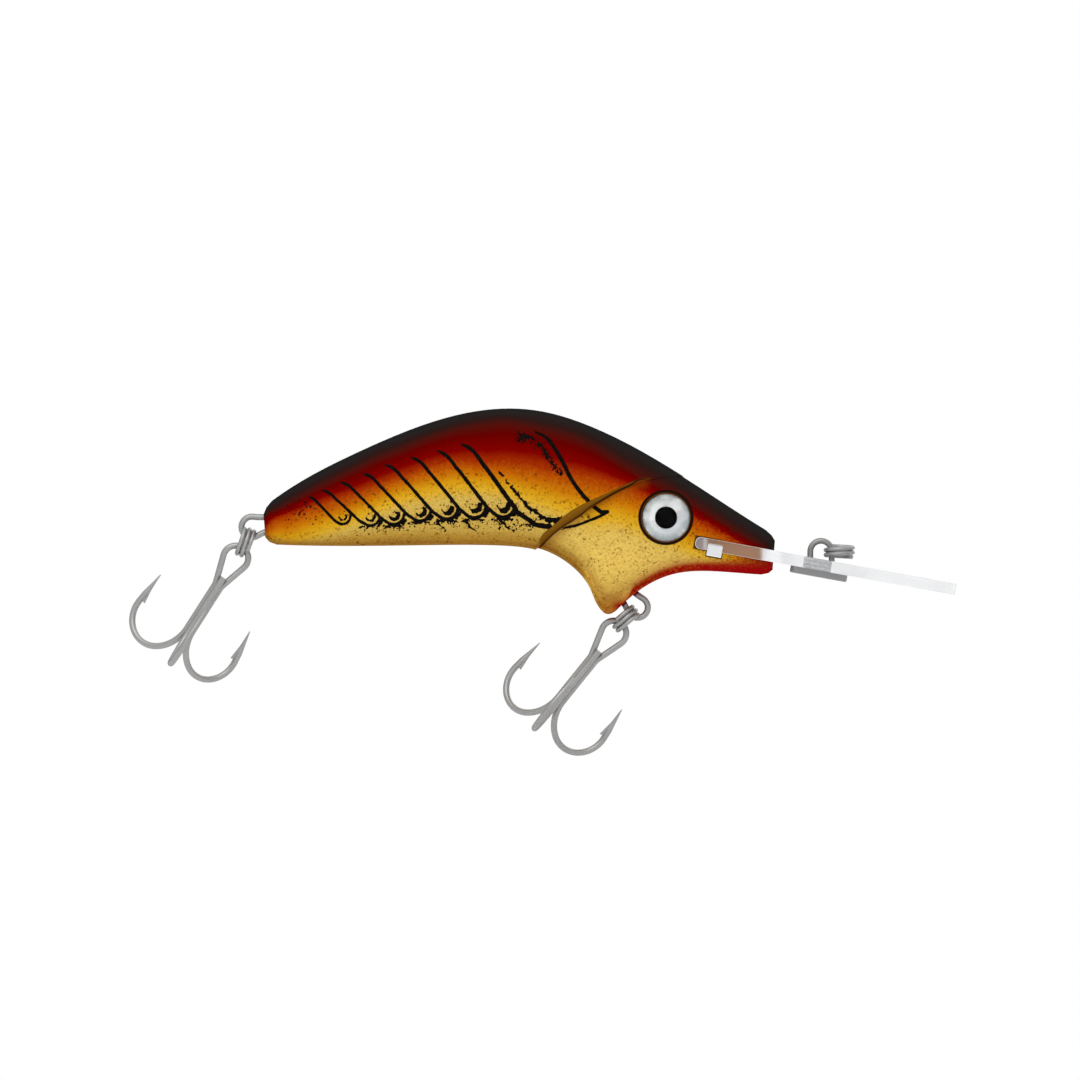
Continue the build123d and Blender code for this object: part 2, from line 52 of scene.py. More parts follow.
def linear(rgb, alpha=1.0):
    """Display colour (0-255) as the linear colour Blender wants."""
    out = []
    for channel in rgb:
        c = channel / 255
        out.append(c / 12.92 if c <= 0.04045 else ((c + 0.055) / 1.055) ** 2.4)  # sRGB curve
    return (*out, alpha)


class Field:
    """A value in a material's node tree, with arithmetic that adds math nodes."""

    def __init__(self, tree, socket):
        self.tree = tree
        self.socket = socket

    def op(self, kind, *others):
        node = self.tree.nodes.new("ShaderNodeMath")
        node.operation = kind
        for i, value in enumerate((self, *others)):
            if isinstance(value, Field):
                self.tree.links.new(value.socket, node.inputs[i])
            else:
                node.inputs[i].default_value = value
        return Field(self.tree, node.outputs[0])

    def __add__(self, other):
        return self.op("ADD", other)

    def __sub__(self, other):
        return self.op("SUBTRACT", other)

    def __mul__(self, other):
        return self.op("MULTIPLY", other)

    def __truediv__(self, other):
        return self.op("DIVIDE", other)

    def __rsub__(self, other):
        return self * -1 + other

    def abs(self):
        return self.op("ABSOLUTE")

    def clamp(self):
        return self.op("MAXIMUM", 0.0).op("MINIMUM", 1.0)

    def step(self, low, high):
        """Smooth rise from 0 at low to 1 at high; it falls if low is above high."""
        node = self.tree.nodes.new("ShaderNodeMapRange")
        node.interpolation_type = "SMOOTHSTEP"
        self.tree.links.new(self.socket, node.inputs["Value"])
        ends = ((low, 0.0), (high, 1.0)) if low < high else ((high, 1.0), (low, 0.0))
        node.inputs["From Min"].default_value = ends[0][0]
        node.inputs["To Min"].default_value = ends[0][1]
        node.inputs["From Max"].default_value = ends[1][0]
        node.inputs["To Max"].default_value = ends[1][1]
        return Field(self.tree, node.outputs["Result"])

    def curve(self, points):
        """Value read from a smooth curve through (input, output) points."""
        xs = [p[0] for p in points]
        ys = [p[1] for p in points]
        x0, x1, y0, y1 = min(xs), max(xs), min(ys), max(ys)
        node = self.tree.nodes.new("ShaderNodeFloatCurve")
        line = node.mapping.curves[0]
        for i, (x, y) in enumerate(points):
            spot = ((x - x0) / (x1 - x0), (y - y0) / (y1 - y0))
            if i in (0, len(points) - 1):
                line.points[0 if i == 0 else -1].location = spot
            else:
                line.points.new(*spot)
        node.mapping.update()
        scaled = (self - x0) / (x1 - x0)
        self.tree.links.new(scaled.socket, node.inputs["Value"])
        return Field(self.tree, node.outputs[0]) * (y1 - y0) + y0


class Paint:
    """Principled material with layered colours and fields x, y and z in mm."""

    def __init__(self, name, rough=0.4, metal=0.0, specular=0.5):
        self.made = bpy.data.materials.new(name)
        self.made.use_nodes = True
        self.tree = self.made.node_tree
        self.shader = self.tree.nodes["Principled BSDF"]
        self.shader.inputs["Roughness"].default_value = rough
        self.shader.inputs["Metallic"].default_value = metal
        self.shader.inputs["Specular IOR Level"].default_value = specular
        self.coords = self.tree.nodes.new("ShaderNodeTexCoord").outputs["Object"]
        split = self.tree.nodes.new("ShaderNodeSeparateXYZ")
        self.tree.links.new(self.coords, split.inputs[0])
        self.x, self.y, self.z = (Field(self.tree, split.outputs[i]) * 1000 for i in range(3))
        self.color = None

    def noise(self, size_mm, detail=2.0, kind="Noise"):
        """Cloudy noise, or the distance to the nearest cell centre for kind Voronoi."""
        node = self.tree.nodes.new("ShaderNodeTex" + kind)
        node.inputs["Scale"].default_value = 1000 / size_mm
        node.inputs["Detail"].default_value = detail
        self.tree.links.new(self.coords, node.inputs["Vector"])
        return Field(self.tree, node.outputs["Fac" if kind == "Noise" else "Distance"])

    def reach(self, x, z):
        """Distance from the line across the lure through (x, z)."""
        dx = self.x - x
        dz = self.z - z
        return (dx * dx + dz * dz).op("SQRT")

    def grazing(self, low, high):
        """Smooth rise towards the places where the surface turns away from the viewer."""
        node = self.tree.nodes.new("ShaderNodeLayerWeight")
        node.inputs["Blend"].default_value = 0.5
        return Field(self.tree, node.outputs["Facing"]).step(low, high)

    def base(self, rgb):
        """One plain colour under all the others."""
        node = self.tree.nodes.new("ShaderNodeRGB")
        node.outputs[0].default_value = linear(rgb)
        self.color = node.outputs[0]

    def ramp(self, field, stops):
        """Colours along a field from 0 to 1, under all the others."""
        node = self.tree.nodes.new("ShaderNodeValToRGB")
        elements = node.color_ramp.elements
        while len(elements) < len(stops):
            elements.new(0.5)
        for element, (position, rgb) in zip(elements, stops):
            element.position = position
            element.color = linear(rgb)
        self.tree.links.new(field.socket, node.inputs[0])
        self.color = node.outputs[0]

    def over(self, rgb, factor):
        """Lay a colour over what is there, by a field's factor."""
        node = self.tree.nodes.new("ShaderNodeMix")
        node.data_type = "RGBA"
        node.blend_type = "MIX"
        node.clamp_factor = True
        self.tree.links.new(factor.socket, node.inputs["Factor"])
        self.tree.links.new(self.color, node.inputs["A"])
        node.inputs["B"].default_value = linear(rgb)
        self.color = node.outputs["Result"]

    def bump(self, height_mm):
        node = self.tree.nodes.new("ShaderNodeBump")
        node.inputs["Strength"].default_value = 1.0
        node.inputs["Distance"].default_value = MM
        self.tree.links.new(height_mm.socket, node.inputs["Height"])
        self.tree.links.new(node.outputs[0], self.shader.inputs["Normal"])

    def drive(self, name, field):
        self.tree.links.new(field.socket, self.shader.inputs[name])

    def done(self):
        self.tree.links.new(self.color, self.shader.inputs["Base Color"])
        return self.made


# --- shading of the CAD pieces ---------------------------------------------------

SMOOTH_ANGLE = 35
WELD_DISTANCE = 1e-6
# margin at each end of the outline's rays, their start, and the plane just beside the split
OUTLINE_MARGIN = 0.0003
OUTLINE_START = 0.1
OUTLINE_Y = -0.0004


def smooth_edges():
    """Geometry nodes that shade smooth over every edge flatter than SMOOTH_ANGLE."""
    tree = bpy.data.node_groups.new("smooth_edges", "GeometryNodeTree")
    for way in ("INPUT", "OUTPUT"):
        tree.interface.new_socket("Geometry", in_out=way, socket_type="NodeSocketGeometry")
    group_in = tree.nodes.new("NodeGroupInput")
    group_out = tree.nodes.new("NodeGroupOutput")
    edge_angle = tree.nodes.new("GeometryNodeInputMeshEdgeAngle")
    compare = tree.nodes.new("FunctionNodeCompare")
    compare.operation = "LESS_EQUAL"
    compare.inputs[1].default_value = math.radians(SMOOTH_ANGLE)
    smooth = tree.nodes.new("GeometryNodeSetShadeSmooth")
    smooth.domain = "EDGE"
    tree.links.new(edge_angle.outputs["Unsigned Angle"], compare.inputs[0])
    tree.links.new(group_in.outputs[0], smooth.inputs["Geometry"])
    tree.links.new(compare.outputs[0], smooth.inputs["Shade Smooth"])
    tree.links.new(smooth.outputs[0], group_out.inputs[0])
    return tree


SMOOTH_EDGES = smooth_edges()


def smooth_cad(obj):
    """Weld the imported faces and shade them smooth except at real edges."""
    weld = obj.modifiers.new("weld", "WELD")
    weld.merge_threshold = WELD_DISTANCE
    for polygon in obj.data.polygons:
        polygon.use_smooth = True
    obj.modifiers.new("smooth", "NODES").node_group = SMOOTH_EDGES


def surface_tree(name):
    """Ray-castable copy of a CAD node's surface."""
    mesh = nodes[name].data
    corners = [vertex.co for vertex in mesh.vertices]
    return BVHTree.FromPolygons(corners, [list(polygon.vertices) for polygon in mesh.polygons])


def body_outline(count=30):
    """(X, Z) points in mm along the back and along the belly, read off the shell."""
    tree = surface_tree("right_shell")
    low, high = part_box("right_shell")
    lines = []
    for start, direction in ((OUTLINE_START, -1), (-OUTLINE_START, 1)):
        line = []
        for i in range(count):
            x = low.x + OUTLINE_MARGIN + (high.x - low.x - 2 * OUTLINE_MARGIN) * i / (count - 1)
            hit = tree.ray_cast(Vector((x, OUTLINE_Y, start)), Vector((0, 0, direction)))[0]
            if hit is not None:
                line.append((hit.x * 1000, hit.z * 1000))
        lines.append(line)
    return lines


BACK, BELLY = body_outline()
eye_low, eye_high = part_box("right_eye_foil")
EYE_X = (eye_low.x + eye_high.x) / 2 * 1000
EYE_Z = (eye_low.z + eye_high.z) / 2 * 1000

# (X, depth below the back) where the flank turns dark red, orange and gold
RED_DEPTH = [
    (-100.0, 0.9), (-97.0, 1.2), (-92.8, 2.8), (-80.0, 2.9), (-67.0, 2.8), (-59.0, 2.6),
    (-50.0, 3.2), (-42.0, 3.5), (-36.0, 4.1), (-30.0, 4.4), (-24.0, 3.8), (-17.0, 3.7),
    (-12.5, 3.4), (-7.0, 2.5),
]
ORANGE_DEPTH = [
    (-100.0, 2.8), (-97.0, 3.2), (-92.8, 4.9), (-86.0, 6.1), (-80.0, 7.0), (-72.0, 7.4),
    (-64.0, 8.1), (-57.0, 9.3), (-48.0, 9.7), (-42.0, 8.9), (-36.0, 7.8), (-30.0, 7.2),
    (-22.0, 6.1), (-15.0, 5.4), (-10.0, 4.5), (-7.0, 3.6),
]
GOLD_DEPTH = [
    (-100.0, 6.6), (-97.0, 7.0), (-92.8, 9.8), (-84.0, 11.4), (-76.0, 11.6), (-67.0, 12.6),
    (-59.0, 13.8), (-50.0, 15.8), (-42.0, 16.6), (-36.0, 14.6), (-30.0, 13.4), (-22.0, 11.9),
    (-17.7, 10.0), (-12.0, 8.6), (-7.0, 7.0),
]
# colours of the flank by depth: red starts at BLACK_SHARE, orange RED_SHARE later, gold at 1
BLACK_SHARE = 0.2
RED_SHARE = 0.4
GOLD_SHARE = 0.4
RAMP_SPAN = 1.4
FLANK = [
    (0.0, (33, 32, 31)), (0.05, (36, 33, 32)), (0.12, (44, 24, 21)), (0.2, (76, 16, 11)),
    (0.3, (95, 1, 0)), (0.47, (122, 2, 0)), (0.6, (156, 42, 2)), (0.7, (180, 79, 3)),
    (0.8, (198, 116, 6)), (0.9, (211, 152, 20)), (1.0, (220, 172, 40)), (1.15, (209, 178, 85)),
    (1.35, (209, 176, 83)),
]
# slope of the lip and its slot, and the height of the slot's middle below the origin
LIP_COS = math.cos(math.radians(10.3))
LIP_SIN = math.sin(math.radians(10.3))
SLOT_DROP = 2.35
NOTCH_MIDDLE = -18.8
KEEL_TIP = (-37.3, -11.6)
# radii of the eye: brown rim, the black line on its edge, and the socket
RIM_RADIUS = 4.6
LINE_RADIUS = 4.62
SOCKET_RADIUS = 4.14
# half width of the groove along the moulding split, and its depth
SPLIT_WIDTH = 0.16
SPLIT_DEPTH = 0.05
# foot of the step behind the cheek, and the upper edge of its painted bevel
STEP_FOOT = [
    (-49.3, 0.67), (-47.72, 2.37), (-45.97, 3.86), (-44.04, 5.18), (-42.28, 6.33), (-40.35, 7.81),
    (-38.25, 9.1), (-35.61, 10.61), (-33.6, 11.58), (-31.75, 12.6), (-30.0, 12.75),
]
BEVEL_TOP = [
    (-50.0, 0.8), (-48.6, 3.2), (-46.7, 4.8), (-44.9, 6.35), (-42.28, 8.0), (-39.7, 9.25),
    (-36.5, 10.7), (-33.0, 12.3), (-31.75, 12.75), (-30.0, 12.85),
]


def paint_flank(p, cloud, grain):
    """Fade from the black back over dark red and orange to gold; gives the fade's depth."""
    x, z = p.x, p.z
    head_grain = (p.noise(0.3, 1.0) - 0.5) * x.step(-40.0, -22.0)
    fall = x.curve(BACK) - z + cloud * 0.9 + (grain - 0.5) * 0.7 + head_grain * 2.2
    red, orange, golden = x.curve(RED_DEPTH), x.curve(ORANGE_DEPTH), x.curve(GOLD_DEPTH)
    black_part = (fall / red).clamp() * BLACK_SHARE
    red_part = ((fall - red) / (orange - red)).clamp() * RED_SHARE
    gold_part = ((fall - orange) / (golden - orange)).op("MAXIMUM", 0.0) * GOLD_SHARE
    depth = (black_part + red_part + gold_part) * x.step(-7.8, -9.6)
    p.ramp(depth / RAMP_SPAN, [(q / RAMP_SPAN, rgb) for q, rgb in FLANK])
    gold = depth.step(0.95, 1.3)
    p.over((232, 196, 96), gold * x.step(-50.5, -40.0) * 0.85)
    p.over((186, 142, 58), z.step(-3.0, -10.0) * gold * 0.4)
    return depth


def paint_underside(p, cloud, depth):
    """Brown along the belly and round the keel's tip, partly the belly's paint and partly painted shade
    where the surface turns under; red in front of the keel.
    """
    x, z = p.x, p.z
    height = z - x.curve(BELLY)
    edge = height + cloud * 0.8
    # brown along the belly's edge, partly its paint and partly painted shade where the surface turns
    # under
    p.over((190, 150, 60), edge.step(3.2, 1.2) * x.step(-38.0, -42.0) * depth.step(0.95, 1.3))
    p.over((148, 106, 46), edge.step(1.5, 0.0) * x.step(-36.5, -38.0) * 0.9)
    keel_tip = p.reach(*KEEL_TIP)
    # brown round the keel's tip, partly paint and partly painted shade where the chin rounds under
    p.over((176, 120, 40), keel_tip.step(5.2, 1.6) * 0.8)
    p.over((150, 68, 36), keel_tip.step(2.0, 0.6) * 0.7)
    low_down = z.step(-0.8, -1.6)
    p.over((168, 74, 40), height.step(3.6, 0.7) * x.step(-37.6, -35.6) * low_down * 0.55)
    p.over((152, 6, 10), height.step(1.9, 0.9) * x.step(-37.2, -35.4) * low_down)
    p.over((112, 4, 2), x.step(-17.0, -9.0) * depth.step(0.25, 0.6))


def paint_freckles(p, grain, depth):
    """Brown freckles and fine grain on the light colours, red speckle on the jaw."""
    light = depth.step(0.5, 0.75)
    p.over((120, 72, 18), grain.step(0.5, 0.7) * light * 0.34)
    p.over((190, 126, 26), p.noise(0.5, 2.0).step(0.44, 0.7) * light * 0.3)
    sparse = p.noise(1.6, 1.0).step(0.40, 0.58)
    p.over((112, 60, 10), p.noise(0.6, 0.0, "Voronoi").step(0.36, 0.2) * sparse * light * 0.6)
    p.over((105, 50, 8), p.noise(1.2, 0.0, "Voronoi").step(0.27, 0.16) * sparse * light * 0.6)
    orange = depth.step(0.3, 0.5) * depth.step(0.9, 0.7)
    p.over((90, 8, 4), p.noise(1.1, 1.0).step(0.6, 0.75) * orange * 0.35)
    speckled = p.z + 2.9 + (p.noise(0.36, 2.0) - 0.5) * 5.0
    p.over((146, 30, 14), speckled.step(2.4, 0.6) * p.x.step(-21.0, -15.0) * 0.7)
    p.over((150, 6, 12), speckled.step(1.2, -0.5) * p.x.step(-24.0, -20.0))


def paint_slot_shade(p):
    """Painted shade round the lip's slot and the latch's notch, where their gaps lie in shadow."""
    along = p.x * LIP_COS - (p.z + SLOT_DROP) * LIP_SIN
    across = p.x * LIP_SIN + (p.z + SLOT_DROP) * LIP_COS
    slot = across.abs().step(1.34, 1.12) * along.step(-22.75, -22.5)
    # painted shade along the slot's edge, darker towards its rear end
    p.over((44, 20, 14), slot * (along.step(-16.0, -20.0) * 0.6 + 0.3))
    beside = (along - NOTCH_MIDDLE).abs().step(1.62, 1.36)
    # painted shade in the gap beside the latch's notch
    p.over((40, 18, 12), beside * across.step(-2.3, -2.06) * across.step(-0.9, -1.0) * 0.9)


def paint_step(p, grain):
    """Painted shade in front of the cheek's step, its bevel painted brown and darker towards the foot
    in painted shade, and a dark line of painted shade along the foot; gives the bevel's height.
    """
    foot = p.x.curve(STEP_FOOT)
    inside = p.x.step(-50.2, -49.0) * p.x.step(-29.5, -31.5)
    above = p.z - foot
    # painted shade on the head in front of the step's foot
    p.over((150, 84, 14), above.step(-2.6, 0.0) * above.step(0.4, 0.0) * inside * 0.45)
    top = p.x.curve(BEVEL_TOP) + (grain - 0.5) * 0.12
    rise = above / (top - foot + 0.001)
    bevel = rise.step(1.05, 0.95) * above.step(-0.1, 0.0) * inside
    # brown of the bevel, partly painted shade standing in for a slanted wall turned from the light
    p.over((132, 88, 20), bevel)
    # painted shade, darker towards the bevel's foot
    p.over((92, 56, 12), bevel * rise.step(0.75, 0.1) * 0.6)
    # painted shade in the crease along the foot of the step
    p.over((58, 24, 10), above.abs().step(0.3, 0.1) * inside * 0.9)
    return rise.clamp() * bevel * 0.5


def paint_eye_rim(p):
    """Brown ring round the eye inside a black line."""
    reach = p.reach(EYE_X, EYE_Z)
    p.over((98, 54, 20), reach.step(RIM_RADIUS + 0.15, RIM_RADIUS))
    p.over((24, 16, 12), (reach - LINE_RADIUS).abs().step(0.32, 0.16))
    p.over((40, 24, 14), reach.step(SOCKET_RADIUS + 0.08, SOCKET_RADIUS) * 0.8)


def body_paint():
    """The airbrushed body under a satin clear coat, with painted shade at the slot, the cheek's step
    and the belly.
    """
    p = Paint("body_paint", rough=0.42, specular=0.0)
    cloud = p.noise(9.0) - 0.5
    grain = p.noise(0.42)
    depth = paint_flank(p, cloud, grain)
    paint_underside(p, cloud, depth)
    paint_freckles(p, grain, depth)
    paint_slot_shade(p)
    bevel = paint_step(p, grain)
    paint_eye_rim(p)
    groove = p.y.abs().step(SPLIT_WIDTH, 0.0) * -SPLIT_DEPTH
    p.bump(groove + bevel + grain * 0.006 + cloud * 0.02)
    p.drive("Roughness", grain * 0.12 + 0.36)
    return p.done()


def metal(name, rgb, rough, spread=0.2):
    """Matte plated metal: faint mottling, fine grain in its roughness, painted shade darkening it
    towards its edges.
    """
    p = Paint(name, rough=rough, metal=0.75)
    p.base(rgb)
    p.over(tuple(c * 0.85 for c in rgb), p.noise(3.5).step(0.4, 0.75) * spread)
    # painted shade: darker where the surface turns away from the viewer, standing in for its edges
    # falling into shade
    p.over(tuple(c * 0.55 for c in rgb), p.grazing(0.55, 1.0) * 0.75)
    p.drive("Roughness", p.noise(1.1) * 0.06 + (rough - 0.03))
    return p


def clear(name, tint, veil_share, rough=0.06, veil=(236, 240, 248), ior=1.5):
    """Clear moulded plastic with a faint flow veil; veil_share of it isn't clear."""
    p = Paint(name, rough=rough, specular=0.4)
    p.base(tint)
    p.over(veil, p.noise(6.0).step(0.4, 0.7) * 0.5)
    p.shader.inputs["Transmission Weight"].default_value = 1.0 - veil_share
    p.shader.inputs["IOR"].default_value = ior
    p.drive("Roughness", p.noise(1.5) * 0.04 + rough)
    return p


def lip_clear():
    """Clear lip with painted brown where its tongue runs through the head, standing in for the body's
    shaded slot seen through it.
    """
    p = clear("lip_clear", (252, 253, 254), veil_share=0.25, veil=(250, 251, 254))
    # painted shade: the body's shaded slot seen through the clear tongue
    p.over((160, 108, 66), p.x.step(-9.6, -11.0) * p.x.step(-20.6, -19.6) * 0.92)
    # painted shade at the slot's rear end, seen through the tongue
    p.over((150, 128, 126), p.x.step(-19.8, -21.0) * 0.85)
    return p.done()


def eye_silver():
    """Silver-white reflective disc, facetted faintly and greyed towards its rim by painted shade."""
    p = Paint("eye_silver", rough=0.6)
    p.base((250, 252, 250))
    reach = p.reach(EYE_X, EYE_Z)
    facet = p.noise(2.4, 0.0, "Voronoi")
    # faint facets, greyer towards the rim where painted shade stands in for the dome's darker edge
    p.over((196, 204, 201), facet.step(0.35, 0.62) * reach.step(2.3, 3.6) * 0.6)
    p.over((214, 220, 217), p.noise(1.4, 1.0).step(0.5, 0.62) * reach.step(2.6, 3.4) * 0.5)
    # painted shade round the rim under the dome's edge
    p.over((150, 156, 152), reach.step(3.8, 4.12) * 0.6)
    p.bump(facet * 0.03)
    return p.done()


def pupil_black():
    """Nearly black print with a faint mottle."""
    p = Paint("pupil_black", rough=0.45, specular=0.0)
    p.base((6, 6, 6))
    p.over((14, 13, 13), p.noise(0.6).step(0.4, 0.7))
    return p.done()


# loop centre of the belly hanger, the way its legs run from there into the keel, and how
# far along them the middle of the painted collar is
BELLY_LOOP = (-32.2, -9.8)
BELLY_LEGS = (-0.649, 0.760)
COLLAR_REACH = 2.25


def belly_wire():
    """Hanger metal with dark-red paint collars where its legs enter the keel."""
    p = metal("belly_wire", (158, 158, 157), 0.42)
    along = (p.x - BELLY_LOOP[0]) * BELLY_LEGS[0] + (p.z - BELLY_LOOP[1]) * BELLY_LEGS[1]
    p.over((120, 20, 34), (along - COLLAR_REACH).abs().step(0.62, 0.42))
    return p.done()


def tow_wire():
    """Hanger metal; the flat shank in the lip has light streaks and dark specks."""
    p = metal("tow_wire", (146, 146, 143), 0.42)
    rise = p.z + p.x * LIP_SIN
    shank = rise.step(-1.3, -1.6)
    streak = (rise * 9.0 + p.noise(1.6) * 7.0).op("SINE").step(-0.4, 0.9)
    p.over((215, 217, 220), streak * shank * 0.8)
    p.over((84, 85, 90), (p.noise(0.5) * shank).step(0.48, 0.6) * 0.7)
    return p.done()


def assign():
    """Give every CAD node its surface, by the first of these words in its name."""
    steel = metal("nickel", (164, 164, 163), 0.4).done()
    surfaces = {
        "shell": body_paint(),
        "eye_foil": eye_silver(),
        "eye_pupil": pupil_black(),
        "eye_lens": clear("dome_clear", (252, 253, 253), veil_share=0.0, rough=0.03, ior=1.08).done(),
        "diving_lip": lip_clear(),
        "lip_latch": clear("latch_clear", (250, 251, 253), veil_share=0.35).done(),
        "belly_hanger": belly_wire(),
        "tail_hanger": metal("hanger_wire", (160, 160, 159), 0.42).done(),
        "tow_plate": metal("tow_plate", (150, 150, 151), 0.5, spread=0.16).done(),
        "tow_eye": tow_wire(),
        "ball": metal("ball_steel", (190, 190, 192), 0.15).done(),  # and the ballast
        "split_ring": steel,
        "hook": steel,
    }
    for name, obj in nodes.items():
        smooth_cad(obj)
        obj.data.materials.clear()
        word = next(word for word in surfaces if word in name)
        obj.data.materials.append(surfaces[word])


assign()


# --- the printed pattern ----------------------------------------------------------

# grid of the ink field: cell, first and last X and Z, and the size of its random tables
CELL = 0.11
INK_X = (-94.0, -36.0)
INK_Z = (1.8, 22.6)
NOISE_SPAN = (60, 22)
# the print stands this far out of the flank, and its back lies this far under the surface
INK_PROUD = 0.045 * MM
INK_SUNK = 0.12 * MM
# spacing of the dots that make up a line
DOT_SPACING = 0.08
RIB_TOPS = [
    (-89.9, 9.65), (-87.6, 10.8), (-84.2, 12.15), (-80.4, 13.75), (-76.5, 15.25), (-71.9, 16.55),
    (-67.4, 17.75), (-63.1, 18.9),
]
RIB_FEET = [
    (-84.1, 4.8), (-79.2, 4.55), (-75.1, 4.75), (-70.5, 5.35), (-65.8, 5.65), (-60.95, 5.9),
    (-55.95, 6.0), (-50.2, 4.75),
]
# inner radius of each rib's round foot; the last rib has none
RIB_ROUND = [1.15, 1.35, 1.5, 1.55, 1.62, 1.7, 1.74]
# a rib's way from its top (0, 0) to its foot (1, 1)
RIB_SHAPE = [
    (0.0, 0.0), (0.16, 0.09), (0.30, 0.26), (0.40, 0.38), (0.51, 0.52), (0.71, 0.775),
    (0.78, 0.86), (0.92, 0.945), (1.0, 1.0),
]
LAST_RIB_END = [(-48.9, 4.5), (-47.6, 4.35)]
GILL_LINE = [
    (-50.1, 21.0), (-48.1, 19.9), (-46.7, 18.1), (-45.2, 15.5), (-44.1, 13.2), (-42.5, 10.8),
    (-40.65, 8.65), (-39.8, 7.85), (-38.65, 6.95),
]
BARB_LINE = [
    (-38.65, 6.95), (-37.4, 7.0), (-38.6, 6.3), (-40.6, 5.45), (-42.9, 4.6), (-45.2, 4.1), (-46.3, 3.8),
]
PATCH_LINE = [
    (-53.0, 20.1), (-51.2, 20.0), (-49.6, 18.9), (-48.4, 17.3), (-47.3, 15.8), (-46.4, 14.5),
    (-45.6, 13.3),
]
DASH_LINE = [(-56.3, 13.8), (-54.0, 10.8), (-51.1, 7.65), (-49.6, 6.6), (-47.7, 5.6), (-45.6, 5.6)]
# start of each drip and the way it runs
DRIPS = [(-67.5, 5.5, 1.7, -2.2), (-62.6, 5.4, 2.4, -2.3), (-56.0, 5.2, 2.2, -2.0)]


def smooth_path(points):
    """Evenly spaced points on a Catmull-Rom curve through the given ones."""
    pts = [np.array(p) for p in points]
    pts = [2 * pts[0] - pts[1], *pts, 2 * pts[-1] - pts[-2]]
    out = []
    for a, b, c, d in zip(pts, pts[1:], pts[2:], pts[3:]):
        steps = max(2, int(np.linalg.norm(c - b) / DOT_SPACING))
        square = 2 * a - 5 * b + 4 * c - d
        cube = 3 * b - a - 3 * c + d
        for i in range(steps):
            t = i / steps
            out.append(0.5 * (2 * b + (c - a) * t + square * t**2 + cube * t**3))
    out.append(pts[-2])
    return np.array(out)


class Ink:
    """Signed ink field on a grid over the flank: positive where there is ink."""

    def __init__(self):
        self.xs = np.arange(INK_X[0], INK_X[1], CELL)
        self.zs = np.arange(INK_Z[0], INK_Z[1], CELL)
        self.field = np.full((len(self.xs), len(self.zs)), -1.0)
        self.rng = np.random.default_rng(SEED)
        self.rough = self.value_noise(0.35) * 0.6 + self.value_noise(0.8) * 0.4

    def value_noise(self, size):
        """Smooth random field between -1 and 1."""
        nx, nz = (int(span / size) + 3 for span in NOISE_SPAN)
        table = self.rng.uniform(-1, 1, (nx, nz))
        gx, gz = (self.xs - self.xs[0]) / size, (self.zs - self.zs[0]) / size
        ix, iz = gx.astype(int), gz.astype(int)
        fx, fz = (gx - ix)[:, None], (gz - iz)[None, :]
        fx, fz = fx * fx * (3 - 2 * fx), fz * fz * (3 - 2 * fz)
        a = table[np.ix_(ix, iz)] * (1 - fx) + table[np.ix_(ix + 1, iz)] * fx
        b = table[np.ix_(ix, iz + 1)] * (1 - fx) + table[np.ix_(ix + 1, iz + 1)] * fx
        return a * (1 - fz) + b * fz

    def dot(self, x, z, radius, rough):
        """Round dot whose edge wanders by about rough."""
        reach = radius + 0.3
        i0, i1 = np.searchsorted(self.xs, (x - reach, x + reach))
        j0, j1 = np.searchsorted(self.zs, (z - reach, z + reach))
        if i0 == i1 or j0 == j1:
            return
        dx = self.xs[i0:i1, None] - x
        dz = self.zs[None, j0:j1] - z
        value = radius - np.sqrt(dx * dx + dz * dz) + self.rough[i0:i1, j0:j1] * rough
        part = self.field[i0:i1, j0:j1]
        np.maximum(part, value, out=part)

    def stroke(self, path, width, rough):
        """Line along a path; width gives the half width for a place between 0 and 1."""
        count = len(path)
        for i, (x, z) in enumerate(path):
            half = width(i / (count - 1))
            if half > 0.02:
                self.dot(x, z, half, rough)

    def splatter(self, count, place, size):
        """Specks at places drawn by a function of the random generator."""
        for _ in range(count):
            x, z = place(self.rng)
            self.dot(x, z, self.rng.uniform(*size), 0.06)


def arc_points(centre, radius, start, end):
    """Evenly spaced points on an arc between two angles in degrees."""
    count = max(4, int(radius * math.radians(end - start) / DOT_SPACING))
    angles = np.radians(np.linspace(start, end, count))
    return np.stack([centre[0] + radius * np.cos(angles), centre[1] + radius * np.sin(angles)], axis=1)


def pointed(line, t):
    """Half width near a rib's thin upper end."""
    return line * min(1, 0.35 + t * 12)


def draw_crescent(ink, i, centre, radius):
    """Ragged crescent inside a rib's foot, behind a thin bare line, with specks above it."""
    plump = 0.2 + 0.06 * min(i, 5)
    path = arc_points(centre, radius - 0.34 - plump * 0.95, 188, 372)
    ink.stroke(path, lambda t: plump * (0.32 + 0.7 * math.sin(t * 0.74 * math.pi) ** 1.5), 0.22)

    def above(r):
        return centre[0] + r.normal(0.1, 0.7), centre[1] + 0.2 + abs(r.normal(0, 0.6))

    ink.splatter(8 + i, above, (0.04, 0.11))


def draw_corner(ink, i, centre, radius, middle, under):
    """Black corner between two feet, with specks below it about an X of middle."""
    ink.dot(centre[0] + radius + 0.45, centre[1] - 1.05, 0.34 + 0.02 * i, 0.1)
    ink.dot(centre[0] + radius + 0.1, centre[1] - 1.5, 0.32 + 0.02 * i, 0.15)

    def close(r):
        return middle + r.uniform(-1.8, 1.9), under + 0.15 - abs(r.normal(0, 0.22))

    def below(r):
        return middle + r.uniform(-2.0, 2.8), under - abs(r.normal(0, 0.7))

    ink.splatter(26 + 6 * i, close, (0.08, 0.17))
    ink.splatter(14 + 3 * i, below, (0.05, 0.13))


